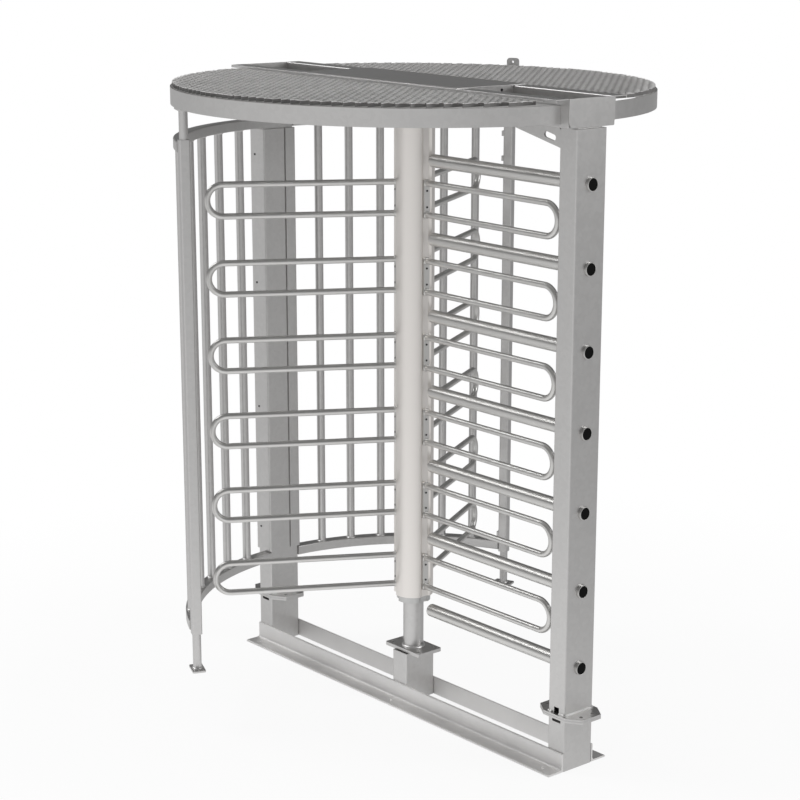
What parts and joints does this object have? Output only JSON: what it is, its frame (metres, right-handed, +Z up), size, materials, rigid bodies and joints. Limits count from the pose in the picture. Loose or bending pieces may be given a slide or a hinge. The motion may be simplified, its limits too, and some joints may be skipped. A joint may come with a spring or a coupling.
{
  "type": "full height turnstile",
  "caption": "Full height turnstile with a lobed column of hooped wings, a curved cage, a comb of cross bars and a round grated roof on a portal.",
  "frame": {"origin": "on the rotor's axis at the underside of the base frame", "axes": "+Z up along the rotor's axis, +X along the portal towards the comb post, +Y along the walkway towards the rear side"},
  "size_m": [2.0554, 1.8394, 2.5196],
  "materials": {
    "galvanised_steel": "hot dip galvanised, matt with a faint spangle",
    "roof_grating_steel": "galvanised flat bar grating, matt",
    "stainless_bar": "satin stainless tube, brushed round the tube",
    "column_aluminium": "satin anodised extrusion",
    "machined_steel": "turned and milled, oiled",
    "black_plastic": "moulded coil body",
    "bronze": "turned bearing bronze"
  },
  "bodies": {
    "portal": {"base_angle_front": "galvanised_steel", "base_angle_rear": "galvanised_steel", "cage_stub": "galvanised_steel", "rotor_stub": "galvanised_steel", "comb_stub": "galvanised_steel", "cage_post": "galvanised_steel", "comb_post": "galvanised_steel", "header_trough": "galvanised_steel", "gusset_front": "galvanised_steel", "gusset_rear": "galvanised_steel", "mechanism_lid": "galvanised_steel", "roof_rim_front": "galvanised_steel", "roof_rim_rear": "galvanised_steel", "cage_grille_front": "galvanised_steel", "cage_grille_rear": "galvanised_steel", "cage_pillar_front": "galvanised_steel", "cage_pillar_rear": "galvanised_steel", "pillar_core_front": "galvanised_steel", "pillar_core_rear": "galvanised_steel", "cage_angle_front": "galvanised_steel", "cage_angle_rear": "galvanised_steel", "rotor_foot": "galvanised_steel", "roof_grating_front": "roof_grating_steel", "roof_grating_rear": "roof_grating_steel", "comb_bar_1": "stainless_bar", "comb_bar_2": "stainless_bar", "comb_bar_3": "stainless_bar", "comb_bar_4": "stainless_bar", "comb_bar_5": "stainless_bar", "comb_bar_6": "stainless_bar", "comb_bar_7": "stainless_bar", "top_bearing_housing": "machined_steel", "lock_bed": "machined_steel", "lock_solenoid_entry": "black_plastic", "lock_solenoid_exit": "black_plastic", "thrust_bearing": "bronze"},
    "rotor": {"rotor_column": "column_aluminium", "rotor_collar": "column_aluminium", "rotor_shaft": "machined_steel", "index_disc": "machined_steel", "hoop_wing1_level1": "stainless_bar", "hoop_wing1_level2": "stainless_bar", "hoop_wing1_level3": "stainless_bar", "hoop_wing1_level4": "stainless_bar", "hoop_wing1_level5": "stainless_bar", "hoop_wing1_level6": "stainless_bar", "hoop_wing2_level1": "stainless_bar", "hoop_wing2_level2": "stainless_bar", "hoop_wing2_level3": "stainless_bar", "hoop_wing2_level4": "stainless_bar", "hoop_wing2_level5": "stainless_bar", "hoop_wing2_level6": "stainless_bar", "hoop_wing3_level1": "stainless_bar", "hoop_wing3_level2": "stainless_bar", "hoop_wing3_level3": "stainless_bar", "hoop_wing3_level4": "stainless_bar", "hoop_wing3_level5": "stainless_bar", "hoop_wing3_level6": "stainless_bar"},
    "pawl_entry": {"lock_pawl_entry": "machined_steel"},
    "pawl_exit": {"lock_pawl_exit": "machined_steel"}
  },
  "joints": [
    {"name": "rotor_turn", "type": "hinge", "parent": "portal", "child": "rotor", "pos_m": [0, 0, 0], "axis": [0, 0, 1], "continuous": true},
    {"name": "pawl_entry_swing", "type": "hinge", "parent": "portal", "child": "pawl_entry", "pos_m": [0.07, 0.09, 2.44], "axis": [0, 0, 1], "range_deg": [0, 9], "stiffness_Nm_per_rad": 0.5},
    {"name": "pawl_exit_swing", "type": "hinge", "parent": "portal", "child": "pawl_exit", "pos_m": [-0.07, -0.09, 2.44], "axis": [0, 0, 1], "range_deg": [0, 9], "stiffness_Nm_per_rad": 0.5}
  ]
}
